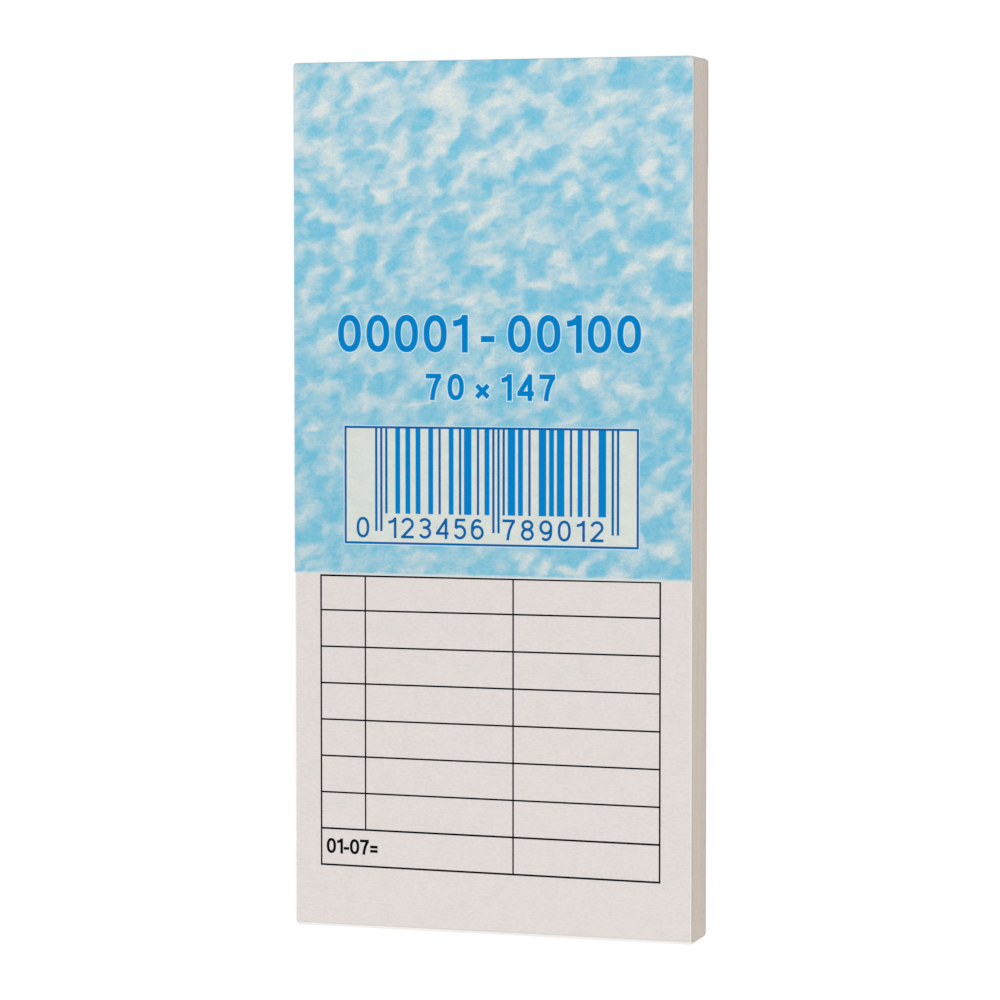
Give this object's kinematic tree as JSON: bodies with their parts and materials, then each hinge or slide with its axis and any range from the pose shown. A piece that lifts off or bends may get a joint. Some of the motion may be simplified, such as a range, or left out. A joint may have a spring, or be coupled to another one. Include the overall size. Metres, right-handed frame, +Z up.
{
  "type": "order pad",
  "caption": "Glue-bound tear-off order pad with ruled newsprint slips, a back board and a short marbled paper cover flap that lifts at the head.",
  "frame": {"origin": "middle of the underside, with the pad lying on its back board", "axes": "+X across the pad to the right seen from the front, +Y along the pad to the bound head, +Z up out of the front"},
  "size_m": [0.07, 0.147, 0.0098],
  "materials": {
    "newsprint": "matt uncoated newsprint with a faint pink-grey cast",
    "marbled_cover": "lightly calendered cover paper with a pale blue marbled print",
    "greyboard": "raw recycled greyboard with flecks",
    "padding_glue": "dried milky padding glue, slightly glossy"
  },
  "bodies": {
    "root": {"back_board": "greyboard", "cover_head_wrap": "marbled_cover", "head_glue": "padding_glue", "leaf_002_stub": "newsprint", "leaf_003_stub": "newsprint", "leaf_004": "newsprint", "leaf_005": "newsprint", "leaf_006": "newsprint", "leaf_007": "newsprint", "leaf_008": "newsprint", "leaf_009": "newsprint", "leaf_010": "newsprint", "leaf_011": "newsprint", "leaf_012": "newsprint", "leaf_013": "newsprint", "leaf_014": "newsprint", "leaf_015": "newsprint", "leaf_016": "newsprint", "leaf_017": "newsprint", "leaf_018": "newsprint", "leaf_019": "newsprint", "leaf_020": "newsprint", "leaf_021": "newsprint", "leaf_022": "newsprint", "leaf_023": "newsprint", "leaf_024": "newsprint", "leaf_025": "newsprint", "leaf_026": "newsprint", "leaf_027": "newsprint", "leaf_028": "newsprint", "leaf_029": "newsprint", "leaf_030": "newsprint", "leaf_031": "newsprint", "leaf_032": "newsprint", "leaf_033": "newsprint", "leaf_034": "newsprint", "leaf_035": "newsprint", "leaf_036": "newsprint", "leaf_037": "newsprint", "leaf_038": "newsprint", "leaf_039": "newsprint", "leaf_040": "newsprint", "leaf_041": "newsprint", "leaf_042": "newsprint", "leaf_043": "newsprint", "leaf_044": "newsprint", "leaf_045": "newsprint", "leaf_046": "newsprint", "leaf_047": "newsprint", "leaf_048": "newsprint", "leaf_049": "newsprint", "leaf_050": "newsprint", "lower_leaves": "newsprint"},
    "top_leaf": {"leaf_001_stub": "newsprint"},
    "top_slip": {"leaf_001_slip": "newsprint"},
    "cover": {"cover_flap": "marbled_cover"},
    "second_slip": {"leaf_002_slip": "newsprint"},
    "third_slip": {"leaf_003_slip": "newsprint"}
  },
  "joints": [
    {"name": "top_leaf_turn", "type": "hinge", "parent": "root", "child": "top_leaf", "pos_m": [0, 0.0735, 0.00975], "axis": [-1, 0, 0], "range_deg": [0, 90]},
    {"name": "cover_turn", "type": "hinge", "parent": "top_leaf", "child": "cover", "pos_m": [0, 0.0735, 0.00975], "axis": [-1, 0, 0], "range_deg": [0, 172]},
    {"name": "top_slip_tear", "type": "slide", "parent": "top_leaf", "child": "top_slip", "axis": [0, -1, 0], "range_m": [0, 0.135]},
    {"name": "second_slip_tear", "type": "slide", "parent": "root", "child": "second_slip", "axis": [0, -1, 0], "range_m": [0, 0.135]},
    {"name": "third_slip_tear", "type": "slide", "parent": "root", "child": "third_slip", "axis": [0, -1, 0], "range_m": [0, 0.135]}
  ]
}
